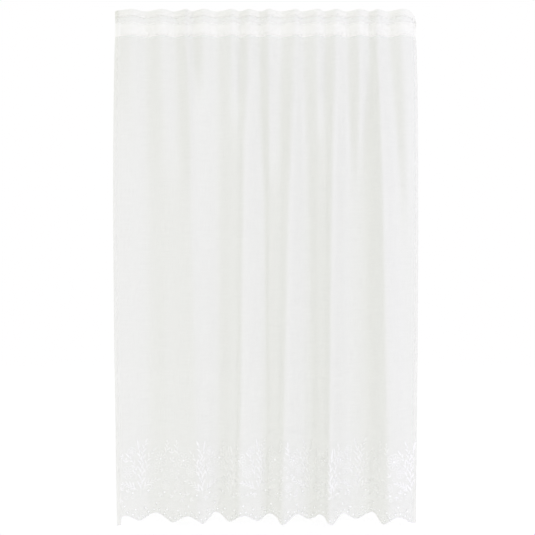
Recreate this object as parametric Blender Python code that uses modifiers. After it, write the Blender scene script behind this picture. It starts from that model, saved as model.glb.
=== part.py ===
"""Lace curtain: a sheer cloth with a scalloped, eyeleted lace border, gathered on a heading tape.

Metres, +Z up. The top edge hangs at z = 0, the front faces -Y, and the cloth falls to -DROP.
The cloth is drawn flat first, in along (from the left edge) and drop (from the top edge), and is
then laid into its folds without stretching: each row keeps the flat width as its length.
"""
import math
from collections import namedtuple

import bmesh
import bpy
import numpy as np
from mathutils import Vector
from mathutils.geometry import delaunay_2d_cdt

# Cloth
DROP = 2.45
FLAT_WIDTH = 1.88
CLOTH_THICK = 0.0010
HEM_THICK = 0.0016
SIDE_HEM = 0.020
FRILL_DROP = 0.036

# Heading tape, sewn on behind
TAPE_FROM = 0.062
TAPE_TO = 0.122
TAPE_THICK = 0.0010
TAPE_END = 0.012
SEWN_GAP = 0.00035
STRAIGHT_HEADING = 0.14

# Lace border
SCALLOPS = 11
FIRST_SHARE = 0.62
SCALLOP_DEPTH = 0.038
ARCH_SHARE = 0.35
TAB_STEP = 0.003
PITCH = (FLAT_WIDTH - 2 * SIDE_HEM) / (SCALLOPS - 1 + FIRST_SHARE)
SCALLOP_STEPS = 8
CORNER_STEPS = 5
EYELET_SIDES = 6

# Folds
SIDE_BULGE = 0.011
BULGE_EARLY = 0.62
DEEPENING = 0.55
CORNER_SAG = 0.050
CORNER_REACH = 0.075
RUNG_STEP = 0.035
RUNG_MARKS = 625
CURVE_STEPS = 14
DEPTH_LIMITS = (0.3, 3.0)
DEPTH_TRIES = 30

# Folds, from left to right, as the crests and valleys that draw them: where each stands across the
# front and how far out, at the top and at the foot. One with no foot dies out on the flank of its
# neighbours, gone_by below the top edge. The smaller its pace, the sooner on its way down a fold
# moves over to its place at the foot. The first and last are the cloth's sides.
Ridge = namedtuple("Ridge", "top out_top foot out_foot gone_by pace", defaults=(0.8,))
RIDGES = (
    Ridge(-0.722, -0.016, -0.700, 0.056, None),
    Ridge(-0.636, 0.025, None, None, 0.80),
    Ridge(-0.578, -0.025, -0.564, -0.034, None),
    Ridge(-0.493, 0.024, None, None, 1.00),
    Ridge(-0.436, -0.024, None, None, 1.00),
    Ridge(-0.378, 0.025, -0.318, 0.054, None, 0.65),
    Ridge(-0.352, -0.020, None, None, 0.55),
    Ridge(-0.293, 0.026, None, None, 0.55),
    Ridge(-0.234, -0.026, -0.232, -0.040, None),
    Ridge(-0.159, 0.024, None, None, 0.62),
    Ridge(-0.123, -0.022, None, None, 0.62),
    Ridge(-0.078, 0.024, -0.112, 0.036, None),
    Ridge(-0.026, -0.024, -0.002, -0.034, None),
    Ridge(0.017, 0.026, None, None, 1.00),
    Ridge(0.075, -0.025, None, None, 1.00),
    Ridge(0.145, 0.025, 0.094, 0.050, None),
    Ridge(0.178, -0.023, 0.214, -0.046, None),
    Ridge(0.250, 0.025, None, None, 0.70),
    Ridge(0.286, -0.023, None, None, 0.70),
    Ridge(0.340, 0.026, 0.310, 0.056, None),
    Ridge(0.392, -0.025, 0.412, -0.048, None),
    Ridge(0.450, 0.025, None, None, 0.95),
    Ridge(0.503, -0.024, 0.504, -0.046, None),
    Ridge(0.536, 0.024, 0.582, 0.066, None),
    Ridge(0.590, -0.024, 0.694, 0.018, None),
    Ridge(0.655, 0.025, None, None, 1.34),
    Ridge(0.724, -0.022, 0.718, 0.010, None),
)

# Rings of eyelets in the border, per scallop: how many, how far above the edge, their radius
# and the shift from the tip as a share of the scallop.
EyeletRow = namedtuple("EyeletRow", "count rise radius shift")
EYELET_ROWS = (
    EyeletRow(6, 0.017, 0.0034, 0.0),
    EyeletRow(3, 0.047, 0.0042, 0.0),
    EyeletRow(2, 0.120, 0.0040, 0.0),
    EyeletRow(1, 0.268, 0.0046, 0.14),
)

# Rows of mesh points: the drops that have close steps across, and those that have wide ones
CLOSE_STEPS = 104
CLOSE_ROWS = (FRILL_DROP, TAPE_FROM, TAPE_TO, 0.22, 0.34, 0.47, 0.60, 0.74, 0.90)
WIDE_STEPS = 52
WIDE_ROWS = (1.10, 1.35, 1.65, 1.90, 2.06, 2.15, 2.24, 2.32, 2.385)
TURN_SWEEPS = 3
TURN_GAIN = 0.0002
TURN_FLAT = 0.00002
EDGE_CLEAR = 0.010
HEAD_CLEAR = 0.006
EDGE_TRIM = 0.0001
EYELET_CLEAR = 0.007

CLOTH_COLOR = (0.93, 0.93, 0.91, 1.0)
TAPE_COLOR = (0.95, 0.95, 0.94, 1.0)


def ease(value):
    """Smooth step from 0 to 1, held outside that range."""
    value = min(max(value, 0.0), 1.0)
    return value * value * (3.0 - 2.0 * value)


def mix(start, end, share):
    return start + (end - start) * share


def fold_knots(drop):
    """The crests and valleys at one height, from left to right, as places across and out."""
    share = (drop - STRAIGHT_HEADING) / (DROP - STRAIGHT_HEADING)
    bulge = SIDE_BULGE * math.sin(math.pi * share ** BULGE_EARLY)
    spots = {}
    for index, ridge in enumerate(RIDGES):
        if ridge.foot is not None:
            spots[index] = (mix(ridge.top, ridge.foot, share ** ridge.pace),
                            mix(ridge.out_top, ridge.out_foot, ease(share ** DEEPENING)))
    last = len(RIDGES) - 1
    spots[0] = (spots[0][0] - bulge, spots[0][1])
    spots[last] = (spots[last][0] + bulge, spots[last][1])
    lasting = sorted(spots)
    for index, ridge in enumerate(RIDGES):
        if ridge.foot is None:
            before = max(i for i in lasting if i < index)
            after = min(i for i in lasting if i > index)
            way = (ridge.top - RIDGES[before].top) / (RIDGES[after].top - RIDGES[before].top)
            flank = mix(spots[before][1], spots[after][1], way)
            fade = ease((drop - STRAIGHT_HEADING) / (ridge.gone_by - STRAIGHT_HEADING))
            spots[index] = (mix(spots[before][0], spots[after][0], way),
                            mix(ridge.out_top, flank, fade))
    return np.array([spots[index] for index in range(len(RIDGES))])


def level_off(arriving, leaving):
    """The slope at a knot, between its two spans' and no steeper than twice the flatter one's."""
    limit = 2.0 * np.minimum(np.abs(arriving), np.abs(leaving))
    return np.clip((arriving + leaving) / 2, -limit, limit)


def smooth_line(knots):
    """A rounded line through the knots, with an even number of steps between each two."""
    ends = np.vstack((2 * knots[0] - knots[1], knots, 2 * knots[-1] - knots[-2]))
    steps = np.linspace(0.0, 1.0, CURVE_STEPS, endpoint=False)[:, None]
    spans = []
    for before, start, end, after in zip(ends, ends[1:], ends[2:], ends[3:]):
        slope_in = level_off(start - before, end - start)
        slope_out = level_off(end - start, after - end)
        spans.append((2 * steps ** 3 - 3 * steps ** 2 + 1) * start
                     + (steps ** 3 - 2 * steps ** 2 + steps) * slope_in
                     + (3 * steps ** 2 - 2 * steps ** 3) * end
                     + (steps ** 3 - steps ** 2) * slope_out)
    return np.vstack(spans + [knots[-1:]])


def lengths_along(line):
    """The distance along a line to each of its points."""
    return np.concatenate(([0.0], np.cumsum(np.hypot(*np.diff(line, axis=0).T))))


def fold_line(drop):
    """One row of the hanging cloth, its folds deepened until it is as long as the flat width."""
    low, high = DEPTH_LIMITS
    for _ in range(DEPTH_TRIES):
        depth = (low + high) / 2
        line = smooth_line(fold_knots(drop) * (1.0, depth))
        if lengths_along(line)[-1] < FLAT_WIDTH:
            low = depth
        else:
            high = depth
    return line


def make_rungs():
    """The rows at even heights, each with the same even steps along the cloth."""
    marks = np.linspace(0.0, FLAT_WIDTH, RUNG_MARKS)
    rungs = []
    for index in range(math.ceil(DROP / RUNG_STEP) + 1):
        drop = max(index * RUNG_STEP, STRAIGHT_HEADING)
        line = fold_line(min(drop, DROP))
        along = lengths_along(line)
        along *= FLAT_WIDTH / along[-1]
        rungs.append(np.column_stack([np.interp(marks, along, line[:, axis]) for axis in (0, 1)]))
    return marks, rungs


def hang(along, drop, marks, rungs):
    """Where a point of the flat cloth hangs."""
    level = min(drop / RUNG_STEP, len(rungs) - 1.001)
    upper = int(level)
    row = mix(rungs[upper], rungs[upper + 1], level - upper)
    across = np.interp(along, marks, row[:, 0])
    out = np.interp(along, marks, row[:, 1])
    return Vector((across, -out, -drop))


def edge_drop(along):
    """The scalloped foot: rounded tips and arches, and a straight tab at each side hem."""
    place = (along - SIDE_HEM) / PITCH + 1.0 - FIRST_SHARE
    from_tip = 2 * abs(place - round(place))
    arch = mix((1 - math.cos(math.pi * from_tip)) / 2, math.sin(math.pi * from_tip / 2), ARCH_SHARE)
    past_hem = (min(along, FLAT_WIDTH - along) - SIDE_HEM) / TAB_STEP
    return DROP - SCALLOP_DEPTH * arch * min(max(past_hem, 0.0), 1.0)


def head_drop(along):
    """The top edge, straight but for its rounded right corner."""
    reach = max(1.0 - (FLAT_WIDTH - along) / CORNER_REACH, 0.0)
    return CORNER_SAG * (1.0 - math.sqrt(1.0 - reach ** 2))


def eyelets():
    """Centre and radius of each eyelet, flat, in rings that follow the scallops."""
    holes = []
    for scallop in range(SCALLOPS):
        for row in EYELET_ROWS:
            side = 1 if scallop % 2 else -1
            for number in range(row.count):
                share = (number + 0.5) / row.count + side * row.shift
                along = SIDE_HEM + (scallop - 1.0 + FIRST_SHARE + share) * PITCH
                if along > SIDE_HEM + EYELET_CLEAR:
                    holes.append((along, edge_drop(along) - row.rise, row.radius))
    return holes


def flat_cloth(holes):
    """The flat cloth as triangles: points (along, drop) and faces, its eyelets left open."""
    points = []
    bars = []

    def add_ring(ring):
        first = len(points)
        points.extend(ring)
        bars.extend((first + i, first + (i + 1) % len(ring)) for i in range(len(ring)))

    rows = [(drop, CLOSE_STEPS) for drop in CLOSE_ROWS] + [(drop, WIDE_STEPS) for drop in WIDE_ROWS]
    head_marks = [FLAT_WIDTH * i / CLOSE_STEPS for i in range(CLOSE_STEPS + 1)]
    for number in range(1, CORNER_STEPS):
        turn = math.pi / 2 * number / CORNER_STEPS
        head_marks.append(FLAT_WIDTH - CORNER_REACH * (1.0 - math.sin(turn)))
    head_marks = sorted(set(head_marks))
    inner_marks = [(i / SCALLOP_STEPS - 1.0 + FIRST_SHARE) * PITCH
                   for i in range(SCALLOPS * SCALLOP_STEPS)]
    foot_marks = [0.0, SIDE_HEM, SIDE_HEM + TAB_STEP]
    foot_marks += [SIDE_HEM + mark for mark in inner_marks if mark > 2 * TAB_STEP]
    foot_marks += [FLAT_WIDTH - SIDE_HEM, FLAT_WIDTH]
    foot_drops = [edge_drop(along) for along in foot_marks]
    add_ring([(along, head_drop(along)) for along in head_marks]
             + [(FLAT_WIDTH, drop) for drop, _ in rows if drop > CORNER_SAG + EDGE_CLEAR]
             + list(zip(foot_marks, foot_drops))[::-1]
             + [(0.0, drop) for drop, _ in reversed(rows)])
    for drop, steps in rows:
        inner = [FLAT_WIDTH * i / steps for i in range(1, steps)]
        inner += [SIDE_HEM, FLAT_WIDTH - SIDE_HEM]
        for along in inner:
            near = any(math.hypot(along - x, drop - y) < radius + EYELET_CLEAR
                       for x, y, radius in holes)
            inside = head_drop(along) + HEAD_CLEAR < drop < edge_drop(along) - EDGE_CLEAR
            if inside and not near:
                points.append((along, drop))
    for x, y, radius in holes:
        turns = [2 * math.pi * (i + 0.5) / EYELET_SIDES for i in range(EYELET_SIDES)]
        add_ring([(x + radius * math.cos(turn), y + radius * math.sin(turn)) for turn in turns])
    found = delaunay_2d_cdt([Vector(p) for p in points], bars, [], 1, 1e-6, False)
    spots = [tuple(p) for p in found[0]]
    faces = []
    for face in found[2]:
        x = sum(spots[i][0] for i in face) / 3
        y = sum(spots[i][1] for i in face) / 3
        inside = head_drop(x) - EDGE_TRIM < y < np.interp(x, foot_marks, foot_drops)
        if inside and all(math.hypot(x - hole[0], y - hole[1]) > hole[2] * 0.8 for hole in holes):
            faces.append(face)
    return spots, faces


def follow_folds(shell, spots, marks, rungs):
    """Turn the slanting edges that then lie closer to the hanging cloth, so that none cuts a fold."""

    def miss(one, other):
        (x0, y0), (x1, y1) = spots[one.index], spots[other.index]
        middle = hang((x0 + x1) / 2, (y0 + y1) / 2, marks, rungs)
        return ((one.co + other.co) / 2 - middle).length

    def side_of(start, end, spot):
        (x0, y0), (x1, y1), (x2, y2) = (spots[vertex.index] for vertex in (start, end, spot))
        return (x1 - x0) * (y2 - y0) - (y1 - y0) * (x2 - x0)

    for _ in range(TURN_SWEEPS):
        for edge in list(shell.edges):
            if len(edge.link_faces) != 2:
                continue
            a, b = edge.verts
            if spots[a.index][1] == spots[b.index][1]:
                continue
            c, d = (next(v for v in face.verts if v not in edge.verts) for face in edge.link_faces)
            crossing = side_of(c, d, a) * side_of(c, d, b)
            if crossing < -TURN_FLAT ** 2 and miss(c, d) < miss(a, b) - TURN_GAIN:
                bmesh.utils.edge_rotate(edge, True)


def thick_sheet(name, vertices, faces, thickness, collection, material, doubled=None, settle=None):
    """A sheet of cloth on its middle surface, thickened both ways, with its doubled hems thicker."""
    mesh = bpy.data.meshes.new(name)
    mesh.from_pydata(vertices, [], faces)
    shell = bmesh.new()
    shell.from_mesh(mesh)
    shell.verts.ensure_lookup_table()
    if settle:
        settle(shell)
    bmesh.ops.recalc_face_normals(shell, faces=shell.faces)
    if sum(face.normal.y for face in shell.faces) > 0:
        bmesh.ops.reverse_faces(shell, faces=shell.faces)
    shell.to_mesh(mesh)
    shell.free()
    mesh.materials.append(material)
    mesh.shade_smooth()
    sheet = bpy.data.objects.new(name, mesh)
    collection.objects.link(sheet)
    solidify = sheet.modifiers.new("thickness", "SOLIDIFY")
    solidify.thickness = thickness
    solidify.offset = 0.0
    solidify.use_even_offset = True
    solidify.use_quality_normals = True
    if doubled:
        group = sheet.vertex_groups.new(name="doubled cloth")
        group.add(doubled, 1.0, "REPLACE")
        solidify.vertex_group = group.name
        solidify.thickness = HEM_THICK
        solidify.thickness_vertex_group = thickness / HEM_THICK
    return sheet


def fabric(name, color, roughness):
    material = bpy.data.materials.new(name)
    material.use_nodes = True
    shader = material.node_tree.nodes["Principled BSDF"]
    shader.inputs["Base Color"].default_value = color
    shader.inputs["Roughness"].default_value = roughness
    material.diffuse_color = color
    return material


def make_cloth(collection, marks, rungs):
    spots, faces = flat_cloth(eyelets())
    vertices = [hang(along, drop, marks, rungs) for along, drop in spots]
    doubled = [index for index, (along, drop) in enumerate(spots)
               if drop < FRILL_DROP + EDGE_TRIM or along < SIDE_HEM + EDGE_TRIM
               or along > FLAT_WIDTH - SIDE_HEM - EDGE_TRIM]
    thick_sheet("curtain_cloth", vertices, faces, CLOTH_THICK, collection,
                fabric("sheer voile", CLOTH_COLOR, 0.8), doubled,
                lambda shell: follow_folds(shell, spots, marks, rungs))


def make_tape(collection, marks, rungs):
    """The tape's rows are the cloth's own, moved back square to the folds."""
    alongs = [FLAT_WIDTH * i / CLOSE_STEPS for i in range(CLOSE_STEPS + 1)]
    front = [hang(along, TAPE_FROM, marks, rungs).xy for along in alongs]
    back_by = (CLOTH_THICK + TAPE_THICK) / 2 + SEWN_GAP
    row = []
    for index in range(1, CLOSE_STEPS):
        into = (front[index] - front[index - 1]).normalized()
        away = (front[index + 1] - front[index]).normalized()
        square = Vector((-into.y - away.y, into.x + away.x)).normalized()
        spread = square.dot(Vector((-into.y, into.x)))
        row.append(front[index] + square * back_by / spread)
    row = [spot for spot, along in zip(row, alongs[1:])
           if SIDE_HEM + TAPE_END < along < FLAT_WIDTH - SIDE_HEM - TAPE_END]
    count = len(row)
    vertices = [Vector((*spot, -drop)) for drop in (TAPE_FROM, TAPE_TO) for spot in row]
    faces = [(i, i + 1, count + i + 1, count + i) for i in range(count - 1)]
    thick_sheet("heading_tape", vertices, faces, TAPE_THICK, collection,
                fabric("woven tape", TAPE_COLOR, 0.75))


def main():
    for item in list(bpy.data.objects):
        bpy.data.objects.remove(item, do_unlink=True)
    collection = bpy.data.collections.new("lace curtain")
    bpy.context.scene.collection.children.link(collection)
    marks, rungs = make_rungs()
    make_cloth(collection, marks, rungs)
    make_tape(collection, marks, rungs)


main()
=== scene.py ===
"""Looks of the lace curtain: sheer voile, embroidered border, heading tape, light and camera."""
import math
import random
from collections import namedtuple

import bpy
import numpy as np
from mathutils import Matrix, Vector
from mathutils.geometry import delaunay_2d_cdt


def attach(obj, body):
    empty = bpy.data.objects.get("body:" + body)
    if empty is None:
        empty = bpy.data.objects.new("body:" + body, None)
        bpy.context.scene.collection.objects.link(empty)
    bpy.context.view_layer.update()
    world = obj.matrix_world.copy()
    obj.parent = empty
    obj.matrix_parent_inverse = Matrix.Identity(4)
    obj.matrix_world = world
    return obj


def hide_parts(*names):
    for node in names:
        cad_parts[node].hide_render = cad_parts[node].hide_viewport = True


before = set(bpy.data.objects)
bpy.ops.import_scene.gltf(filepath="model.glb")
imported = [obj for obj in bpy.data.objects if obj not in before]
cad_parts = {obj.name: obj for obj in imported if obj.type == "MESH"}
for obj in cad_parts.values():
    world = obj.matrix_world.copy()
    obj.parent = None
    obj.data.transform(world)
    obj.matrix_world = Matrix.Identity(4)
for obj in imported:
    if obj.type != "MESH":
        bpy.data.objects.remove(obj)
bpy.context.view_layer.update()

# Cloth, as in the solids, in metres
DROP = 2.45
FLAT_WIDTH = 1.88
SIDE_HEM = 0.020
FRILL_DROP = 0.036
TAPE_FROM = 0.062
TAPE_TO = 0.122
TAPE_INSET = 0.032
STRAIGHT_HEADING = 0.14
SCALLOPS = 11
FIRST_SHARE = 0.62
SCALLOP_DEPTH = 0.038
ARCH_SHARE = 0.35
TAB_STEP = 0.003
SIDE_BULGE = 0.011
BULGE_EARLY = 0.62
DEEPENING = 0.55
PITCH = (FLAT_WIDTH - 2 * SIDE_HEM) / (SCALLOPS - 1 + FIRST_SHARE)
CORNER_SAG = 0.050
CORNER_REACH = 0.075
CORNER_FADE = 0.12

# Folds, from left to right, as the crests and valleys that draw them: where each stands across the
# front and how far out, at the top and at the foot. One with no foot dies out on the flank of its
# neighbours, gone_by below the top edge. The smaller its pace, the sooner on its way down a fold
# moves over to its place at the foot. The first and last are the cloth's sides.
Ridge = namedtuple("Ridge", "top out_top foot out_foot gone_by pace", defaults=(0.8,))
RIDGES = (
    Ridge(-0.722, -0.016, -0.700, 0.056, None),
    Ridge(-0.636, 0.025, None, None, 0.80),
    Ridge(-0.578, -0.025, -0.564, -0.034, None),
    Ridge(-0.493, 0.024, None, None, 1.00),
    Ridge(-0.436, -0.024, None, None, 1.00),
    Ridge(-0.378, 0.025, -0.318, 0.054, None, 0.65),
    Ridge(-0.352, -0.020, None, None, 0.55),
    Ridge(-0.293, 0.026, None, None, 0.55),
    Ridge(-0.234, -0.026, -0.232, -0.040, None),
    Ridge(-0.159, 0.024, None, None, 0.62),
    Ridge(-0.123, -0.022, None, None, 0.62),
    Ridge(-0.078, 0.024, -0.112, 0.036, None),
    Ridge(-0.026, -0.024, -0.002, -0.034, None),
    Ridge(0.017, 0.026, None, None, 1.00),
    Ridge(0.075, -0.025, None, None, 1.00),
    Ridge(0.145, 0.025, 0.094, 0.050, None),
    Ridge(0.178, -0.023, 0.214, -0.046, None),
    Ridge(0.250, 0.025, None, None, 0.70),
    Ridge(0.286, -0.023, None, None, 0.70),
    Ridge(0.340, 0.026, 0.310, 0.056, None),
    Ridge(0.392, -0.025, 0.412, -0.048, None),
    Ridge(0.450, 0.025, None, None, 0.95),
    Ridge(0.503, -0.024, 0.504, -0.046, None),
    Ridge(0.536, 0.024, 0.582, 0.066, None),
    Ridge(0.590, -0.024, 0.694, 0.018, None),
    Ridge(0.655, 0.025, None, None, 1.34),
    Ridge(0.724, -0.022, 0.718, 0.010, None),
)

# Rows of eyelets in each scallop: how many, how far above the scalloped edge, how large, and how far
# to one side as a share of the scallop, which is the other side in the next
EyeletRow = namedtuple("EyeletRow", "count rise radius shift")
EYELET_ROWS = (
    EyeletRow(6, 0.017, 0.0034, 0.0),
    EyeletRow(3, 0.047, 0.0042, 0.0),
    EyeletRow(2, 0.120, 0.0040, 0.0),
    EyeletRow(1, 0.268, 0.0046, 0.14),
)

# Mesh fineness
RUNG_STEP = 0.02
CURVE_STEPS = 24
MARKS = 1301
SLOPE_STEP = 0.002
CLOTH_STEP = 0.0078
ROW_STEP = 0.030
FRILL_ROWS = (0.006, 0.016, 0.026, FRILL_DROP)
HEADING_ROWS = (0.0, 0.003, 0.012, 0.024, FRILL_DROP, 0.049, TAPE_FROM, 0.082, 0.102, TAPE_TO)
LACE_FROM = 2.04
LACE_STEP = 0.0075
LACE_CLEAR = LACE_STEP / 3
SEAM_NEAR = 1e-5
CORNER_NEAR = 1e-7
HOLE_INSIDE = 0.9
GUARD = 0.001
FOOT_STEPS = 32
EYELET_SIDES = 14
EYELET_CLEAR = 0.007
SHARP_ANGLE = 62
CLOTH_THICK = 0.0004
TURN_RADIUS = 0.0006
TURN_STEPS = 5
HEM_STEPS = (0.004, 0.010, 0.015, 0.020)

# Each row's fold depth is looked for between these shares of the table's, in so many halvings
DEPTH_FROM = 0.3
DEPTH_TO = 3.0
HALVINGS = 26

# Heading tape, behind the cloth
TAPE_BACK = 0.00135
TAPE_THICK = 0.0008
TAPE_STEP = 0.006
TAPE_ROWS = 10
POCKET_RISES = (0.010, 0.030, 0.050)
POCKET_FROM = 0.012
POCKET_ENDS = 0.02
POCKET_PITCH = 0.012
POCKET_LONG = 0.010
POCKET_WIDE = 0.0020
POCKET_HIGH = 0.0009

# Thread: half widths, heights above the cloth, steps along a stroke, and how far outside an eyelet
# its rim lies. Strokes stay a little room inside the cloth's sides.
STITCH_STEP = 0.0025
LINE_HALF = 0.0015
THREAD_HIGH = 0.00045
LEAF_HIGH = THREAD_HIGH * 1.2
RIM_HIGH = THREAD_HIGH * 1.1
RIM_HALF = 0.0011
RIM_OUT = 0.0009
RIM_STEP = 0.002
RING_SIDES = 16
WHEEL_HALF = 0.0008
WHEEL_THREADS = 3
EDGE_ROOM = 0.004
EDGING_HALF = 0.0021
EDGING_HIGH = 0.0010
EDGING_INSET = 0.7
EDGING_STEPS = 40

# The net of the border's foot, and the double line above it
NET_HALF = 0.00045
NET_HIGH = 0.0004
NET_BASE = 0.0001
NET_PITCH = 0.013
NET_SLOPE = 0.85
NET_STEP = 0.003
NET_FEWEST = 3
NET_CLEAR = 0.002
NET_FOOT = 0.010
NET_HEAD = 0.096
NET_WAVE = 0.012
GARLAND_GAP = 0.006
GARLAND_STEPS = 24

# Machine stitches
SEW_PITCH = 0.0034
SEW_LONG = 0.0026
SEW_HALF = 0.0003
SEW_HIGH = 0.0004
SEW_INSET = 0.002
SEW_MARKS = 60
SEW_FRILL = 0.016
SEW_BELOW_TAPE = 0.008
SEW_ABOVE_FOOT = 0.006
SEW_TAPE_INSET = TAPE_INSET + 0.001

# Across a stroke: how far to the side, as a share of its half width, and how far out, of its height
NARROW = ((-1.0, -0.6), (0.0, 1.0), (1.0, -0.6))
ROUND = ((-1.0, 0.0), (0.0, 1.0), (1.0, 0.0), (0.0, -1.0))
VEINED = ((-1.0, 0.0), (-0.55, 1.0), (0.0, 0.65), (0.55, 1.0), (1.0, 0.0), (0.0, -0.8))

# Along a stroke: its fewest steps, how wide a leaf's and a line's ends stay, how a leaf swells, and
# over what length a line does
FEWEST_STEPS = {"line": 2, "leaf": 6, "ring": 6}
LEAF_END = 0.08
LEAF_PEAK = 0.85
LEAF_FULL = 0.8
LINE_END = 0.45
LINE_TAPER = 0.003
BOW_SHARES = np.linspace(0, 1, 9)

# Petals. Their reach, their veins and the flower's heart are in shares of its radius, and so is
# the width of all its petals together.
PETAL_SIDES = 18
PETAL_SLIM = 0.55
PETAL_FLARE = 0.6
PETAL_FROM = 0.24
PETAL_WIDE = 5.0
VEIN_FROM = 0.34
VEIN_TO = 0.84
VEIN_HALF = 0.07
HEART = 0.17

# Leaves of a sprig, in shares of its length or of their own, and their turn away from the stem
LEAF_FIRST = 0.14
LEAF_SPREAD = 0.38
LEAF_SHRINK = 0.22
LEAF_HALF = 0.13
LEAF_TURN = 0.6
LEAF_BEND = 0.12
LOOK_AHEAD = 0.05
BUD_LONG = 0.8

# Cover of the voile's two faces, its weave, how much closer its other layers make it, and how far
# and how softly their looks reach. The same shares also blend in a whiter copy of its thread, which is
# painted light that brightens the frill, the tape, the side hems, the heading and a little of the border.
COVER = 0.44
FULL_COVER = 0.96
WEAVE_PITCH = 0.0007
WEAVE_SHADE = 0.05
UNEVEN = 0.07
SLUBS_DOWN = (0.0018, 0.09)
SLUBS_ACROSS = (0.11, 0.0018)
FRILL_CLOSE_AND_PAINTED_LIGHT = 0.78
TAPED_CLOSE_AND_PAINTED_LIGHT = 0.92
HEM_CLOSE_AND_PAINTED_LIGHT = 0.62
HEADING_CLOSE_AND_PAINTED_LIGHT = 0.26
LACE_CLOSE_AND_PAINTED_LIGHT = 0.05
LACE_HIGH = 0.27
LACE_SOFT = 0.10
FRILL_SOFT = 0.002
EDGE_SOFT = 0.001
TAPE_PAST = 0.0015

# Colours, the share of its light that each cloth or thread scatters through to the other side, and
# the threads' own cover and sheen
CLEAR_TINT = (0.890, 0.897, 0.873, 1.0)
LOOSE_WHITE = (0.94, 0.94, 0.925, 1.0)
# White of the thread and the tape; on the voile, the painted light of its whiter copy in the closer bands
DENSE_WHITE_AND_PAINTED_LIGHT = (0.998, 0.998, 0.990, 1.0)
FULL_WHITE = (1.0, 1.0, 1.0, 1.0)
LOOSE_GLOW = 0.45
PACKED_GLOW = 0.9
TAPE_GLOW = 0.88
THREAD_GLOW = 0.1
THREAD_COVER = 0.58
SHEEN = 0.04
SHEEN_ROUGH = 0.45

# Raised weaves: strength and height of each bump, and the pitch of its ridges
VOILE_BUMP = (0.12, 0.0001)
THREAD_BUMP = (0.15, 0.0002)
TAPE_BUMP = (0.4, 0.0003)
SATIN_RIDGE = 0.0007
SEWING_RIDGE = 0.0006
TAPE_RIB = 0.0016
TAPE_WEFT = 0.0011
WEFT_SHARE = 0.5

# Camera, placed from where the curtain sits in the photo's square frame
FRAME_PX = 535
MIDDLE_PX = 265.5
HEAD_PX = 10.3
FOOT_PX = 522.0
PX = DROP / (FOOT_PX - HEAD_PX)
CAMERA_AWAY = 4.4
SENSOR_MM = 36.0

# Light and floor
ROOM_LIGHT = 0.96
KEY_WATTS = 53.0
KEY_SIZE = 2.2
KEY_TINT = (0.66, 0.60, 1.0)
KEY_PLACE = (3.2, -3.2, -0.6)
KEY_AIM = (0.0, 0.0, -1.2)
OPEN_BOUNCES = 64
ALL_BOUNCES = 24
CLOTH_BOUNCES = 16
FLOOR_GAP = 0.02
FLOOR_SIZE = 14.0
FLOOR_GREY = (0.45, 0.45, 0.45, 1.0)
FLOOR_GLOW = (0.605, 0.605, 0.605, 1.0)


def ease(value):
    """Smooth step from 0 to 1, held outside that range."""
    value = np.clip(value, 0.0, 1.0)
    return value * value * (3.0 - 2.0 * value)


def mix(start, end, share):
    """The value a share of the way from start to end."""
    return start + (end - start) * share


def fold_knots(drop):
    """The crests and valleys at one height, from left to right, as places across and out."""
    share = (drop - STRAIGHT_HEADING) / (DROP - STRAIGHT_HEADING)
    bulge = SIDE_BULGE * math.sin(math.pi * share ** BULGE_EARLY)
    spots = {}
    for index, ridge in enumerate(RIDGES):
        if ridge.foot is not None:
            spots[index] = (mix(ridge.top, ridge.foot, share ** ridge.pace),
                            mix(ridge.out_top, ridge.out_foot, ease(share ** DEEPENING)))
    last = len(RIDGES) - 1
    spots[0] = (spots[0][0] - bulge, spots[0][1])
    spots[last] = (spots[last][0] + bulge, spots[last][1])
    lasting = sorted(spots)
    for index, ridge in enumerate(RIDGES):
        if ridge.foot is None:
            before = max(i for i in lasting if i < index)
            after = min(i for i in lasting if i > index)
            way = (ridge.top - RIDGES[before].top) / (RIDGES[after].top - RIDGES[before].top)
            flank = mix(spots[before][1], spots[after][1], way)
            fade = ease((drop - STRAIGHT_HEADING) / (ridge.gone_by - STRAIGHT_HEADING))
            spots[index] = (mix(spots[before][0], spots[after][0], way),
                            mix(ridge.out_top, flank, fade))
    return np.array([spots[index] for index in range(len(RIDGES))])


def level_off(arriving, leaving):
    """The slope at a knot, between its two spans' and no steeper than twice the flatter one's."""
    limit = 2.0 * np.minimum(np.abs(arriving), np.abs(leaving))
    return np.clip((arriving + leaving) / 2, -limit, limit)


def smooth_line(knots):
    """A rounded line through the knots, with an even number of steps between each two."""
    ends = np.vstack((2 * knots[0] - knots[1], knots, 2 * knots[-1] - knots[-2]))
    steps = np.linspace(0.0, 1.0, CURVE_STEPS, endpoint=False)[:, None]
    spans = []
    for before, start, end, after in zip(ends, ends[1:], ends[2:], ends[3:]):
        slope_in = level_off(start - before, end - start)
        slope_out = level_off(end - start, after - end)
        spans.append((2 * steps ** 3 - 3 * steps ** 2 + 1) * start
                     + (steps ** 3 - 2 * steps ** 2 + steps) * slope_in
                     + (3 * steps ** 2 - 2 * steps ** 3) * end
                     + (steps ** 3 - steps ** 2) * slope_out)
    return np.vstack(spans + [knots[-1:]])


def lengths_along(line):
    """The distance along a line to each of its points."""
    return np.concatenate(([0.0], np.cumsum(np.hypot(*np.diff(line, axis=0).T))))


def at_lengths(marks, along, path):
    """Points of a path at marks along it, where along says how far its own points lie."""
    return np.column_stack([np.interp(marks, along, path[:, axis]) for axis in (0, 1)])


def fold_line(drop):
    """One row of the hanging cloth, its folds deepened until it is as long as the flat width."""
    low = DEPTH_FROM
    high = DEPTH_TO
    for _ in range(HALVINGS):
        depth = (low + high) / 2
        line = smooth_line(fold_knots(drop) * (1.0, depth))
        if lengths_along(line)[-1] < FLAT_WIDTH:
            low = depth
        else:
            high = depth
    return line


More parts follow.
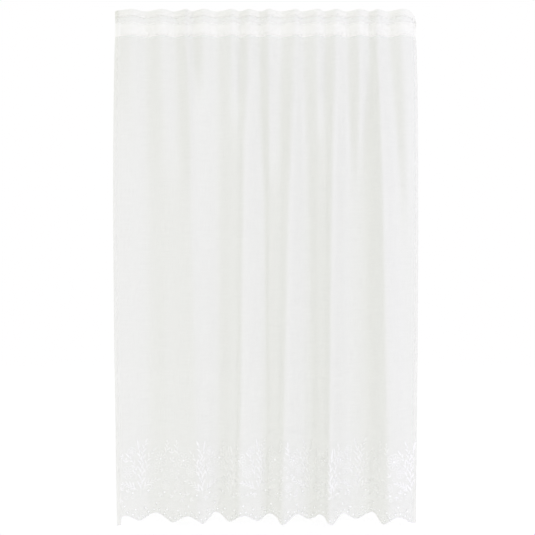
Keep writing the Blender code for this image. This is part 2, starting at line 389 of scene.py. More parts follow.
def make_rungs():
    """The rows at even heights, each with the same even steps along the cloth."""
    marks = np.linspace(0.0, FLAT_WIDTH, MARKS)
    rungs = []
    for index in range(math.ceil(DROP / RUNG_STEP) + 1):
        line = fold_line(min(max(index * RUNG_STEP, STRAIGHT_HEADING), DROP))
        along = lengths_along(line)
        along *= FLAT_WIDTH / along[-1]
        rungs.append(at_lengths(marks, along, line))
    return np.array(rungs)


RUNGS = make_rungs()


def hang(along, drop):
    """Where points of the flat cloth hang, before any crease."""
    column = along / FLAT_WIDTH * (MARKS - 1)
    level = np.minimum(drop / RUNG_STEP, len(RUNGS) - 1 - GUARD)
    left = np.clip(column.astype(int), 0, MARKS - 2)
    upper = np.maximum(level.astype(int), 0)
    right_share = (column - left)[:, None]
    low_share = np.maximum(level - upper, 0.0)[:, None]
    row_above = mix(RUNGS[upper, left], RUNGS[upper, left + 1], right_share)
    row_below = mix(RUNGS[upper + 1, left], RUNGS[upper + 1, left + 1], right_share)
    spot = mix(row_above, row_below, low_share)
    return np.column_stack((spot[:, 0], -spot[:, 1], -drop))


# Soft creases below the gathers and down the folds: where along the cloth, from and to which
# drop, how wide and how high
Crease = namedtuple("Crease", "along top foot wide high")
CREASES = (
    Crease(0.118, 0.125, 0.62, 0.020, 0.0022),
    Crease(0.205, 0.125, 0.34, 0.014, -0.0020),
    Crease(0.330, 0.125, 0.86, 0.022, 0.0026),
    Crease(0.436, 0.125, 0.40, 0.015, 0.0018),
    Crease(0.522, 0.125, 1.10, 0.024, -0.0024),
    Crease(0.640, 0.125, 0.52, 0.016, 0.0022),
    Crease(0.742, 0.125, 0.30, 0.013, -0.0018),
    Crease(0.846, 0.125, 0.95, 0.022, 0.0024),
    Crease(0.955, 0.125, 0.44, 0.016, -0.0020),
    Crease(1.062, 0.125, 0.70, 0.020, 0.0022),
    Crease(1.170, 0.125, 0.36, 0.014, 0.0018),
    Crease(1.262, 0.125, 1.30, 0.026, -0.0026),
    Crease(1.388, 0.125, 0.48, 0.016, 0.0020),
    Crease(1.486, 0.125, 0.82, 0.020, -0.0022),
    Crease(1.603, 0.125, 0.58, 0.018, 0.0024),
    Crease(1.716, 0.125, 0.42, 0.015, -0.0020),
    Crease(1.842, 0.125, 0.74, 0.020, 0.0022),
    Crease(0.270, 1.20, 2.30, 0.030, 0.0030),
    Crease(0.700, 1.35, 2.40, 0.026, -0.0028),
    Crease(1.130, 1.10, 2.10, 0.028, 0.0028),
    Crease(1.560, 1.25, 2.35, 0.030, -0.0030),
)
# How fast a crease grows below its top, and fades towards its foot
CREASE_IN = 5.0
CREASE_OUT = 1.6


def creased(along, drop):
    """How far the creases lift the cloth towards the front."""
    lift = np.zeros_like(along)
    for crease in CREASES:
        way = (drop - crease.top) / (crease.foot - crease.top)
        length = ease(way * CREASE_IN) * ease((1.0 - way) * CREASE_OUT)
        lift += crease.high * length * np.exp(-((along - crease.along) / crease.wide) ** 2)
    return lift


def turn_over(past):
    """How far beyond its fold cloth reaches that is turned over, and how far behind its front."""
    angle = np.minimum(past / TURN_RADIUS, math.pi)
    beyond = TURN_RADIUS * np.sin(angle) - np.maximum(past - math.pi * TURN_RADIUS, 0.0)
    return beyond, TURN_RADIUS * (1.0 - np.cos(angle))


def surface(along, drop, lift=0.0):
    """Points of the cloth, or of what lies lift in front of it. Past a side or the top, the cloth
    is turned over to the back."""
    along = np.asarray(along, float)
    drop = np.asarray(drop, float)
    head = head_drop(np.clip(along, 0.0, FLAT_WIDTH))
    side_beyond, side_behind = turn_over(np.maximum(np.maximum(-along, along - FLAT_WIDTH), 0.0))
    head_beyond, head_behind = turn_over(np.maximum(head - drop, 0.0))
    along = np.where(along < 0, -side_beyond,
                     np.where(along > FLAT_WIDTH, FLAT_WIDTH + side_beyond, along))
    drop = np.where(drop < head, head - head_beyond, drop)
    spot = hang(along, drop)
    run = hang(along + SLOPE_STEP, drop) - hang(along - SLOPE_STEP, drop)
    fall = hang(along, drop + SLOPE_STEP) - hang(along, drop - SLOPE_STEP)
    square = np.cross(fall, run)
    square /= np.linalg.norm(square, axis=1)[:, None]
    square *= np.where(square[:, 1:2] > 0, -1.0, 1.0)
    behind = side_behind + head_behind
    return spot + square * (creased(along, drop) + lift - behind)[:, None]


def scallop_place(along):
    """Where points along the cloth lie, counted in scallops from the first one's start."""
    return (np.asarray(along, float) - SIDE_HEM) / PITCH + 1.0 - FIRST_SHARE


def edge_drop(along):
    """The scalloped foot: rounded tips and arches, and a straight tab at each side hem."""
    along = np.asarray(along, float)
    place = scallop_place(along)
    from_tip = 2 * np.abs(place - np.round(place))
    arch = mix((1 - np.cos(np.pi * from_tip)) / 2, np.sin(np.pi * from_tip / 2), ARCH_SHARE)
    past_hem = (np.minimum(along, FLAT_WIDTH - along) - SIDE_HEM) / TAB_STEP
    return DROP - SCALLOP_DEPTH * arch * np.clip(past_hem, 0.0, 1.0)


def head_drop(along):
    """The top edge, straight but for its rounded right corner."""
    reach = np.maximum(1.0 - (FLAT_WIDTH - np.asarray(along)) / CORNER_REACH, 0.0)
    return CORNER_SAG * (1.0 - np.sqrt(1.0 - np.minimum(reach, 1.0) ** 2))


def eyelets():
    """Centre and radius of each eyelet, flat, in rows that follow the scallops."""
    holes = []
    for scallop in range(SCALLOPS):
        for row in EYELET_ROWS:
            side = 1 if scallop % 2 else -1
            for number in range(row.count):
                share = (number + 0.5) / row.count + side * row.shift
                along = SIDE_HEM + (scallop - 1.0 + FIRST_SHARE + share) * PITCH
                if along > SIDE_HEM + EYELET_CLEAR:
                    holes.append((along, float(edge_drop(along)) - row.rise, row.radius))
    return holes


def new_piece(name, points, faces, uv, material):
    """A mesh object that rides on the curtain, with its flat place in metres as its UV."""
    mesh = bpy.data.meshes.new(name)
    mesh.from_pydata([tuple(p) for p in points], [], [tuple(f) for f in faces])
    layer = mesh.uv_layers.new(name="flat")
    corners = np.zeros(len(mesh.loops), int)
    mesh.loops.foreach_get("vertex_index", corners)
    layer.data.foreach_set("uv", np.asarray(uv, float)[corners].ravel())
    mesh.shade_smooth()
    mesh.set_sharp_from_angle(angle=math.radians(SHARP_ANGLE))
    mesh.materials.append(material)
    piece = bpy.data.objects.new(name, mesh)
    bpy.context.scene.collection.objects.link(piece)
    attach(piece, "root")
    return piece


def thicken(piece, thickness):
    """Give a sheet its thickness, half of it to each side."""
    solidify = piece.modifiers.new("thickness", "SOLIDIFY")
    solidify.thickness = thickness
    solidify.offset = 0.0
    solidify.use_even_offset = True


def turn_marks(reach):
    """Distances past a fold line: close ones round the turn, then out to the hem's raw edge."""
    arc = math.pi * TURN_RADIUS
    return [arc * i / TURN_STEPS for i in range(1, TURN_STEPS + 1)] + [x for x in reach if x > arc]


def cloth_columns():
    """Places across the cloth, past its sides for the hems that are turned over."""
    steps = round(FLAT_WIDTH / CLOTH_STEP)
    body = [FLAT_WIDTH * i / steps for i in range(steps + 1)]
    past = turn_marks(HEM_STEPS)
    return [-x for x in reversed(past)] + body + [FLAT_WIDTH + x for x in past]


def grid_faces(rows, wide):
    """The quads between rows of points, with so many points to a row."""
    return [(r * wide + c, (r + 1) * wide + c, (r + 1) * wide + c + 1, r * wide + c + 1)
            for r in range(rows - 1) for c in range(wide - 1)]


def upper_rows(columns):
    """Flat places of the voile's rows, from the frill's raw edge behind to the top of the border."""
    frill = [-x for x in reversed(turn_marks(FRILL_ROWS))]
    below = np.linspace(TAPE_TO, LACE_FROM, round((LACE_FROM - TAPE_TO) / ROW_STEP) + 1)[1:]
    corner = head_drop(np.clip(columns, 0, FLAT_WIDTH))
    rows = []
    for drop in (*frill, *HEADING_ROWS, *below):
        sag = corner * (1.0 - min(max(drop, 0.0) / CORNER_FADE, 1.0))
        rows.append(np.column_stack((columns, drop + sag)))
    return rows


def foot_points(columns):
    """The scalloped foot, flat, from one hem's raw edge to the other's."""
    marks = set(np.round(np.linspace(0, FLAT_WIDTH, SCALLOPS * FOOT_STEPS + 1), 6))
    marks |= {SIDE_HEM, SIDE_HEM + TAB_STEP, FLAT_WIDTH - SIDE_HEM}
    places = np.concatenate((columns[columns < 0], sorted(marks), columns[columns > FLAT_WIDTH]))
    return [(float(x), float(edge_drop(np.clip(x, 0, FLAT_WIDTH)))) for x in places]


def lace_mesh(columns):
    """The border as flat points and triangles, down to its scalloped foot, with its eyelets open."""
    foot = foot_points(columns)
    sides = np.arange(LACE_FROM + LACE_STEP, DROP - LACE_STEP / 2, LACE_STEP)
    points = ([(float(x), LACE_FROM) for x in columns] + [(float(columns[-1]), float(y)) for y in sides]
              + foot[::-1] + [(float(columns[0]), float(y)) for y in sides[::-1]])
    bars = [(i, (i + 1) % len(points)) for i in range(len(points))]
    holes = eyelets()
    hole_x, hole_y, hole_radius = np.array(holes).T
    for index, drop in enumerate(sides):
        stagger = (index % 2) * LACE_STEP / 2
        inner = np.arange(LACE_STEP / 2 + stagger, FLAT_WIDTH - LACE_CLEAR, LACE_STEP)
        inner = np.concatenate((inner, columns[(columns > columns[0]) & (columns <= 0)],
                                columns[(columns < columns[-1]) & (columns >= FLAT_WIDTH)]))
        for x in inner:
            gap = (np.hypot(hole_x - x, hole_y - drop) - hole_radius).min()
            room = edge_drop(np.clip(x, 0, FLAT_WIDTH)) - drop
            if gap > LACE_CLEAR and room > LACE_CLEAR:
                points.append((float(x), float(drop)))
    for x, y, radius in holes:
        first = len(points)
        turns = [2 * math.pi * i / EYELET_SIDES for i in range(EYELET_SIDES)]
        points += [(x + radius * math.cos(turn), y + radius * math.sin(turn)) for turn in turns]
        bars += [(first + i, first + (i + 1) % EYELET_SIDES) for i in range(EYELET_SIDES)]
    found = delaunay_2d_cdt([Vector(point) for point in points], bars, [], 1, CORNER_NEAR, False)
    spots = np.array([tuple(spot) for spot in found[0]])
    foot_x, foot_y = np.array(foot).T
    kept = []
    for face in found[2]:
        x, y = spots[list(face)].mean(axis=0)
        if y > np.interp(x, foot_x, foot_y):
            continue
        if (np.hypot(hole_x - x, hole_y - y) > hole_radius * HOLE_INSIDE).all():
            kept.append(face)
    return spots, kept


def make_sheer(material):
    """The voile: rows down to the border, then a triangulated border with its eyelets open."""
    columns = np.array(cloth_columns())
    rows = upper_rows(columns)
    faces = grid_faces(len(rows), len(columns))
    upper = len(rows) * len(columns)
    seam = upper - len(columns)
    spots, triangles = lace_mesh(columns)
    index_of = []
    below = []
    for x, y in spots:
        if abs(y - LACE_FROM) < SEAM_NEAR:
            index_of.append(seam + int(np.abs(columns - x).argmin()))
        else:
            index_of.append(upper + len(below))
            below.append((x, y))
    faces += [tuple(index_of[i] for i in face)[::-1] for face in triangles]
    flat = np.vstack(rows + [below])
    points = surface(flat[:, 0], flat[:, 1])
    piece = new_piece("curtain_sheer", points, faces, flat, material)
    thicken(piece, CLOTH_THICK)
    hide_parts("curtain_cloth")
    return piece


def make_tape(material):
    """The heading tape, which follows the gathers behind the cloth."""
    start = TAPE_INSET
    steps = round((FLAT_WIDTH - 2 * start) / TAPE_STEP)
    flat = [(mix(start, FLAT_WIDTH - start, i / steps), mix(TAPE_FROM, TAPE_TO, row / TAPE_ROWS))
            for row in range(TAPE_ROWS + 1) for i in range(steps + 1)]
    faces = grid_faces(TAPE_ROWS + 1, steps + 1)
    flat = np.array(flat)
    points = surface(flat[:, 0], flat[:, 1], -TAPE_BACK)
    piece = new_piece("tape_band", points, faces, flat, material)
    thicken(piece, TAPE_THICK)
    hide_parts("heading_tape")
    return piece


# A stroke of thread in the flat cloth, as points along and drop. A leaf is pointed at both ends,
# and a ring is closed.
Stroke = namedtuple("Stroke", "path half form")


def line(path, half=LINE_HALF):
    """A stroke that is open at both ends."""
    return Stroke(np.asarray(path, float), half, "line")


def ring(along, drop, radius, half=LINE_HALF, sides=RING_SIDES):
    """A round stroke."""
    turns = np.linspace(0, 2 * math.pi, sides, endpoint=False)
    path = np.column_stack((along + radius * np.cos(turns), drop + radius * np.sin(turns)))
    return Stroke(path, half, "ring")


def bowed(start, end, bow):
    """A path from start to end that bows to one side by a share of its length."""
    start = np.asarray(start, float)
    reach = np.asarray(end, float) - start
    side = np.array((-reach[1], reach[0])) * bow
    shares = BOW_SHARES[:, None]
    return start + reach * shares + side * 4 * shares * (1 - shares)


def leaf(start, end, half, bend=0.0):
    """A satin leaf from its stalk to its tip, bent to one side by a share of its length."""
    return Stroke(bowed(start, end, bend), half, "leaf")


def lay_rings(stroke, section, high, step):
    """One stroke's cross-sections in turn: flat places, lifts and thread coordinates."""
    path = np.vstack((stroke.path, stroke.path[:1])) if stroke.form == "ring" else stroke.path
    along = lengths_along(path)
    count = max(FEWEST_STEPS[stroke.form], round(along[-1] / step))
    marks = np.linspace(0, along[-1], count + 1)
    if stroke.form == "ring":
        marks = marks[:-1]
    middle = at_lengths(marks, along, path)
    if stroke.form == "ring":
        heading = np.roll(middle, -1, axis=0) - np.roll(middle, 1, axis=0)
    else:
        heading = np.gradient(middle, axis=0)
    heading /= np.linalg.norm(heading, axis=1)[:, None]
    square = np.column_stack((-heading[:, 1], heading[:, 0]))
    way = marks / along[-1]
    if stroke.form == "leaf":
        arch = np.maximum(np.sin(np.pi * np.clip(way, 0, 1) ** LEAF_PEAK), 0.0)
        swell = mix(LEAF_END, 1.0, arch ** LEAF_FULL)
    elif stroke.form == "line":
        swell = mix(LINE_END, 1.0, ease(np.minimum(way, 1 - way) * along[-1] / LINE_TAPER))
    else:
        swell = np.ones(len(marks))
    half = stroke.half * swell
    flat = [middle + square * (side * half)[:, None] for side, _ in section]
    lifts = [out * high * np.sqrt(swell) for _, out in section]
    thread = [np.column_stack((marks, side * half)) for side, _ in section]
    return np.stack(flat, 1), np.stack(lifts, 1), np.stack(thread, 1)


def thread_piece(name, strokes, section, high, material, base=0.0, step=STITCH_STEP):
    """Strokes of thread, each a closed raised ribbon laid along the hanging cloth."""
    flat, lifts, thread, faces = [], [], [], []
    first = 0
    size = len(section)
    for stroke in strokes:
        places, heights, uv = lay_rings(stroke, section, high, step)
        count = len(places)
        spans = count if stroke.form == "ring" else count - 1
        for i in range(spans):
            here = first + i * size
            there = first + (i + 1) % count * size
            for j in range(size):
                k = (j + 1) % size
                faces.append((here + j, here + k, there + k, there + j))
        if stroke.form != "ring":
            faces.append(tuple(first + j for j in reversed(range(size))))
            faces.append(tuple(first + (count - 1) * size + j for j in range(size)))
        flat.append(places.reshape(-1, 2))
        lifts.append(heights.ravel())
        thread.append(uv.reshape(-1, 2))
        first += count * size
    flat = np.vstack(flat)
    points = surface(flat[:, 0], flat[:, 1], np.concatenate(lifts) + base)
    return new_piece(name, points, faces, np.vstack(thread), material)


def petal(centre, turn, inner, outer, wide):
    """The outline of one petal, broad at its outer end."""
    turns = np.linspace(0, 2 * math.pi, PETAL_SIDES, endpoint=False)
    reach = (1 - np.cos(turns)) / 2
    out = inner + (outer - inner) * reach
    side = wide / 2 * np.sin(turns) * (PETAL_SLIM + PETAL_FLARE * reach)
    x = centre[0] + out * math.cos(turn) - side * math.sin(turn)
    y = centre[1] + out * math.sin(turn) + side * math.cos(turn)
    return Stroke(np.column_stack((x, y)), LINE_HALF, "ring")


def polar(centre, turn, reach):
    """The point at a reach from the centre, in the direction of turn."""
    return centre[0] + reach * math.cos(turn), centre[1] + reach * math.sin(turn)


def flower(centre, radius, petals, turn, closed=True):
    """Outlined petals, each with a satin vein, round a ring, or round an open eyelet."""
    lines, leaves = [], []
    for number in range(petals):
        way = turn + 2 * math.pi * number / petals
        lines.append(petal(centre, way, PETAL_FROM * radius, radius, PETAL_WIDE * radius / petals))
        leaves.append(leaf(polar(centre, way, VEIN_FROM * radius), polar(centre, way, VEIN_TO * radius),
                           VEIN_HALF * radius))
    if closed:
        lines.append(ring(*centre, HEART * radius))
    return lines, leaves


def sprig(root, tip, pairs, size, sway):
    """A stem with satin leaves, left and right in turn, that grow smaller towards a bud."""
    path = bowed(root, tip, sway)
    leaves = []
    for number in range(2 * pairs):
        way = LEAF_FIRST + LEAF_SPREAD * number / pairs
        here, ahead = at_lengths((way, way + LOOK_AHEAD), BOW_SHARES, path)
        heading = math.atan2(ahead[1] - here[1], ahead[0] - here[0])
        long = size * (1.0 - LEAF_SHRINK * number / pairs)
        turn = LEAF_TURN if number % 2 else -LEAF_TURN
        leaves.append(leaf(here, polar(here, heading + turn, long), long * LEAF_HALF, -LEAF_BEND * turn))
    leaves.append(leaf(path[-2], path[-1] + (path[-1] - path[-2]) * BUD_LONG, size * LEAF_HALF))
    return [line(path)], leaves


# The spray, in shares of its width of two scallops and in metres above the foot. It is mirrored in
# every other place, and each is moved and sized a little on its own.
SPRAY_SCALLOPS = 2
Bloom = namedtuple("Bloom", "place rise radius petals")
BLOOMS = (
    Bloom(0.31, 0.242, 0.030, 5),
    Bloom(0.70, 0.250, 0.029, 5),
    Bloom(0.10, 0.190, 0.025, 5),
    Bloom(0.90, 0.178, 0.024, 5),
    Bloom(0.37, 0.338, 0.021, 5),
)
Stem = namedtuple("Stem", "root root_rise tip tip_rise pairs size sway")
STEMS = (
    Stem(0.50, 0.118, 0.47, 0.370, 5, 0.046, 0.05),
    Stem(0.56, 0.260, 0.61, 0.385, 3, 0.034, -0.08),
    Stem(0.43, 0.205, 0.30, 0.325, 3, 0.032, 0.12),
    Stem(0.46, 0.145, 0.20, 0.190, 4, 0.034, 0.12),
    Stem(0.54, 0.145, 0.80, 0.200, 4, 0.034, -0.12),
    Stem(0.59, 0.205, 0.73, 0.345, 3, 0.034, -0.12),
    Stem(0.00, 0.120, 0.02, 0.340, 4, 0.042, 0.06),
    Stem(0.08, 0.270, 0.11, 0.372, 2, 0.032, 0.12),
    Stem(0.89, 0.320, 0.93, 0.388, 2, 0.030, 0.10),
)
SEED = 11
SPRAY_NUDGE = 0.01
SPRAY_LIFT = 0.005
SPRAY_GROW = (0.96, 1.05)

# The open flower round each eyelet of the highest row
HEAD_ROW = 3
HEAD_BLOOM = 0.038
HEAD_PETALS = 6

# What fills the gaps between the sprays. A trefoil's three leaves have a lean and a length each.
FILL_RISES = (0.118, 0.345)
FILL_TRIES = 4000
FILL_CLEAR = 0.0165
FILL_TREFOIL = (0.018, 0.027)
FILL_RING = (0.005, 0.008)
TREFOIL_SHARE = 0.6
TREFOIL = ((-0.9, 0.8), (0.0, 1.0), (0.9, 0.8))
TREFOIL_HALF = 0.16


def scallop_x(place):
    """Where a place counted in scallops, from the first one's start, lies along the cloth."""
    return SIDE_HEM + (place - 1.0 + FIRST_SHARE) * PITCH


def on_cloth(strokes):
    """Those strokes that stay clear of the cloth's sides."""
    return [stroke for stroke in strokes if stroke.path[:, 0].min() > EDGE_ROOM
            and stroke.path[:, 0].max() < FLAT_WIDTH - EDGE_ROOM]


def trefoil(centre, size, turn):
    """Three small leaves from one point."""
    return [leaf(centre, polar(centre, turn + lean, size * long), size * TREFOIL_HALF)
            for lean, long in TREFOIL]


def fill_strokes(chance, strokes):
    """Trefoils and rings wherever the sprays and eyelets leave room between them."""
    taken = np.vstack([stroke.path for stroke in strokes] + [[(x, y)] for x, y, _ in eyelets()])
    lines, leaves = [], []
    for _ in range(FILL_TRIES):
        centre = (chance.uniform(SIDE_HEM, FLAT_WIDTH - SIDE_HEM), DROP - chance.uniform(*FILL_RISES))
        if np.hypot(*(taken - centre).T).min() < FILL_CLEAR:
            continue
        if chance.random() < TREFOIL_SHARE:
            made = trefoil(centre, chance.uniform(*FILL_TREFOIL), chance.uniform(0, 2 * math.pi))
            leaves += made
        else:
            made = [ring(*centre, chance.uniform(*FILL_RING))]
            lines += made
        taken = np.vstack([taken] + [stroke.path for stroke in made])
    return lines, leaves


def spray_strokes(chance):
    """All sprays of the border, as outlines and as satin leaves."""
    lines, leaves = [], []
    for spray in range(math.ceil(SCALLOPS / SPRAY_SCALLOPS)):
        mirrored = spray % 2 == 1
        nudge = chance.uniform(-SPRAY_NUDGE, SPRAY_NUDGE)
        lift = chance.uniform(-SPRAY_LIFT, SPRAY_LIFT)
        grow = chance.uniform(*SPRAY_GROW)

        def spot(place, rise):
            share = (1.0 - place if mirrored else place) + nudge
            return scallop_x((spray + share) * SPRAY_SCALLOPS), DROP - rise - lift

        for bloom in BLOOMS:
            made = flower(spot(bloom.place, bloom.rise), bloom.radius * grow, bloom.petals,
                          chance.uniform(0, 2 * math.pi))
            lines += made[0]
            leaves += made[1]
        for stem in STEMS:
            sway = -stem.sway if mirrored else stem.sway
            made = sprig(spot(stem.root, stem.root_rise), spot(stem.tip, stem.tip_rise), stem.pairs,
                         stem.size * grow, sway)
            lines += made[0]
            leaves += made[1]
    for x, y, radius in eyelets():
        if radius == EYELET_ROWS[HEAD_ROW].radius:
            made = flower((x, y), HEAD_BLOOM, HEAD_PETALS, chance.uniform(0, 2 * math.pi), False)
            lines += made[0]
            leaves += made[1]
    lines, leaves = on_cloth(lines), on_cloth(leaves)
    more_lines, more_leaves = fill_strokes(chance, lines + leaves)
    return lines + more_lines, leaves + more_leaves


def net_head(along):
    """How far above the foot the net reaches, in waves that follow the scallops."""
    return NET_HEAD + NET_WAVE * np.cos(2 * np.pi * scallop_place(along))


def net_strokes():
    """The diamond net of the border's foot, cut off at its edges and round the eyelets."""
    holes = np.array(eyelets())
    strokes = []
    reach = NET_HEAD + NET_WAVE + SCALLOP_DEPTH
    fall = np.arange(0, reach + NET_STEP, NET_STEP)
    drop = DROP - reach + fall
    first = -math.ceil(reach / NET_PITCH) - 1
    last = math.ceil((FLAT_WIDTH + reach) / NET_PITCH) + 1
    for lean in (-NET_SLOPE, NET_SLOPE):
        for number in range(first, last + 1):
            along = number * NET_PITCH + lean * fall
            rise = edge_drop(np.clip(along, 0, FLAT_WIDTH)) - drop
            from_middle = np.hypot(holes[:, 0, None] - along, holes[:, 1, None] - drop)
            gap = (from_middle - holes[:, 2, None]).min(axis=0)
            inside = ((rise > NET_FOOT) & (DROP - drop < net_head(along)) & (gap > NET_CLEAR)
                      & (along > SIDE_HEM) & (along < FLAT_WIDTH - SIDE_HEM))
            edges = np.flatnonzero(np.diff(np.concatenate(([0], inside.astype(int), [0]))))
            for start, end in edges.reshape(-1, 2):
                if end - start >= NET_FEWEST:
                    strokes.append(line(np.column_stack((along, drop))[start:end], NET_HALF))
    return strokes


def wheel(centre, radius, turn):
    """The threads that cross an open eyelet."""
    threads = []
    for number in range(WHEEL_THREADS):
        way = turn + math.pi * number / WHEEL_THREADS
        ends = (polar(centre, way, -radius), centre, polar(centre, way, radius))
        threads.append(line(ends, WHEEL_HALF))
    return threads


def garland_strokes():
    """The light double line that closes the net off from the sprays."""
    marks = np.linspace(SIDE_HEM, FLAT_WIDTH - SIDE_HEM, SCALLOPS * GARLAND_STEPS + 1)
    return [line(np.column_stack((marks, DROP - net_head(marks) - lift)), NET_HALF)
            for lift in (0.0, GARLAND_GAP)]


def edging_strokes():
    """The cord that edges the scalloped foot."""
    marks = np.linspace(EDGE_ROOM, FLAT_WIDTH - EDGE_ROOM, SCALLOPS * EDGING_STEPS + 1)
    return [line(np.column_stack((marks, edge_drop(marks) - EDGING_HALF * EDGING_INSET)), EDGING_HALF)]


def sewn_row(path):
    """Straight stitches along a path."""
    path = np.asarray(path, float)
    along = lengths_along(path)
    strokes = []
    for number in range(int(along[-1] / SEW_PITCH)):
        ends = (number * SEW_PITCH, number * SEW_PITCH + SEW_LONG)
        strokes.append(line(at_lengths(ends, along, path), SEW_HALF))
    return strokes


def across_at(drop, inset=EDGE_ROOM):
    """A line across the cloth at one height, which follows the rounded corner above the tape."""
    marks = np.linspace(inset, FLAT_WIDTH - inset, SEW_MARKS)
    sag = head_drop(marks) * (1.0 - drop / CORNER_FADE if drop < TAPE_FROM else 0.0)
    return np.column_stack((marks, drop + sag))


def make_sewing(material):
    """Machine stitches: the frill's two rows, the tape's, and the side hems."""
    rows = [across_at(FRILL_DROP - SEW_INSET), across_at(SEW_FRILL),
            across_at(TAPE_FROM + SEW_INSET, SEW_TAPE_INSET),
            across_at(TAPE_TO - SEW_INSET, SEW_TAPE_INSET),
            across_at(TAPE_TO + SEW_BELOW_TAPE, SIDE_HEM)]
    rows += [[(x, FRILL_DROP), (x, DROP - SEW_ABOVE_FOOT)]
             for x in (SIDE_HEM - SEW_INSET, FLAT_WIDTH - SIDE_HEM + SEW_INSET)]
    strokes = [stitch for row in rows for stitch in sewn_row(row)]
    thread_piece("sewing", strokes, NARROW, SEW_HIGH, material, CLOTH_THICK / 2,
                 SEW_LONG / 2)


def make_pockets(material):
    """The woven pockets on the back of the tape that take the hooks."""
    strokes = []
    for rise in POCKET_RISES:
        middle = TAPE_FROM + rise
        for number in range(int((FLAT_WIDTH - 2 * TAPE_INSET - POCKET_ENDS) / POCKET_PITCH)):
            x = TAPE_INSET + POCKET_FROM + number * POCKET_PITCH
            ends = ((x, middle - POCKET_LONG / 2), (x, middle + POCKET_LONG / 2))
            strokes.append(line(ends, POCKET_WIDE))
    thread_piece("tape_pockets", strokes, ROUND, POCKET_HIGH, material,
                 -TAPE_BACK - TAPE_THICK / 2, POCKET_LONG / 4)


def make_border(thread):
    """Embroidery and edging of the scalloped border."""
    chance = random.Random(SEED)
    lines, leaves = spray_strokes(chance)
    thread_piece("border_outlines", lines, ROUND, THREAD_HIGH, thread)
    thread_piece("border_leaves", leaves, VEINED, LEAF_HIGH, thread)
    thread_piece("border_net", net_strokes(), NARROW, NET_HIGH, thread, NET_BASE, NET_STEP)
    thread_piece("border_garland", garland_strokes(), ROUND, NET_HIGH, thread)
    rings = [ring(x, y, radius + RIM_OUT, RIM_HALF, EYELET_SIDES) for x, y, radius in eyelets()]
    for x, y, radius in eyelets():
        rings += wheel((x, y), radius, chance.uniform(0, math.pi))
    thread_piece("eyelet_rings", rings, ROUND, RIM_HIGH, thread, 0.0, RIM_STEP)
    thread_piece("scallop_edging", edging_strokes(), ROUND, EDGING_HIGH, thread)


def make_camera():
    """A camera square to the curtain's front, whose frame holds the curtain as the photo's does."""
    lens_data = bpy.data.cameras.new("camera")
    lens_data.sensor_width = SENSOR_MM
    lens_data.lens = SENSOR_MM * CAMERA_AWAY / (FRAME_PX * PX)
    camera = bpy.data.objects.new("camera", lens_data)
    across = (FRAME_PX / 2 - MIDDLE_PX) * PX
    height = (HEAD_PX - FRAME_PX / 2) * PX
    camera.location = (across, -CAMERA_AWAY, height)
    camera.rotation_euler = (math.pi / 2, 0.0, 0.0)
    bpy.context.scene.collection.objects.link(camera)
    bpy.context.scene.camera = camera


def node(tree, kind, **inputs):
    """A shader node with its sockets set by name, or by place as i0, i1 and so on. A value that is
    itself a socket is linked."""
    made = tree.nodes.new(kind)
    for name, value in inputs.items():
        by_place = name[0] == "i" and name[1:].isdigit()
        socket = made.inputs[int(name[1:]) if by_place else name]
        if isinstance(value, bpy.types.NodeSocket):
            tree.links.new(value, socket)
        else:
            socket.default_value = value
    return made


def new_material(name):
    """An empty material, with its node tree and output."""
    material = bpy.data.materials.new(name)
    material.use_nodes = True
    tree = material.node_tree
    tree.nodes.clear()
    output = tree.nodes.new("ShaderNodeOutputMaterial")
    return material, tree, output


def maths(tree, operation, first, second=0.0, third=0.0):
    """A number worked out from one to three others."""
    made = node(tree, "ShaderNodeMath", i0=first, i1=second, i2=third)
    made.operation = operation
    return made.outputs[0]


def band(tree, value, middle, half, soft):
    """1 where a value lies within half of middle, 0 past soft beyond that."""
    off = maths(tree, "ABSOLUTE", maths(tree, "SUBTRACT", value, middle))
    made = node(tree, "ShaderNodeMapRange", i0=off, i1=half, i2=half + soft, i3=1.0, i4=0.0)
    made.interpolation_type = "SMOOTHSTEP"
    return made.outputs[0]


def flat_place(tree):
    """The two flat coordinates of a sheet, in metres, along and drop."""
    split = node(tree, "ShaderNodeSeparateXYZ", i0=tree.nodes.new("ShaderNodeUVMap").outputs[0])
    return split.outputs[0], split.outputs[1]


def sine(tree, place, pitch):
    """A wave from -1 to 1 along a coordinate, with one crest to each pitch."""
    return maths(tree, "SINE", maths(tree, "MULTIPLY", place, 2 * math.pi / pitch))


def slubs(tree, along, drop, size_along, size_down):
    """Uneven threads, from 0 to 1: noise that is drawn out to one size along and another down."""
    place = node(tree, "ShaderNodeCombineXYZ", i0=maths(tree, "DIVIDE", along, size_along),
                 i1=maths(tree, "DIVIDE", drop, size_down))
    return node(tree, "ShaderNodeTexNoise", Vector=place.outputs[0], Scale=1.0, Detail=1.0).outputs["Fac"]


def bumped(tree, height, strength, distance):
    """The normal of a face that a height raises."""
    return node(tree, "ShaderNodeBump", Strength=strength, Distance=distance, Height=height).outputs[0]


def blend(tree, share, first, second):
    """Two shaders mixed. The share is the second one's."""
    return node(tree, "ShaderNodeMixShader", i0=share, i1=first, i2=second).outputs[0]


def glowing(tree, colour, glow, normal):
    """Matt thread that scatters a share of its light, glow, through to the other side."""
    back = node(tree, "ShaderNodeBsdfDiffuse", Color=colour, Normal=normal).outputs[0]
    through = node(tree, "ShaderNodeBsdfTranslucent", Color=colour, Normal=normal).outputs[0]
    return blend(tree, glow, back, through)


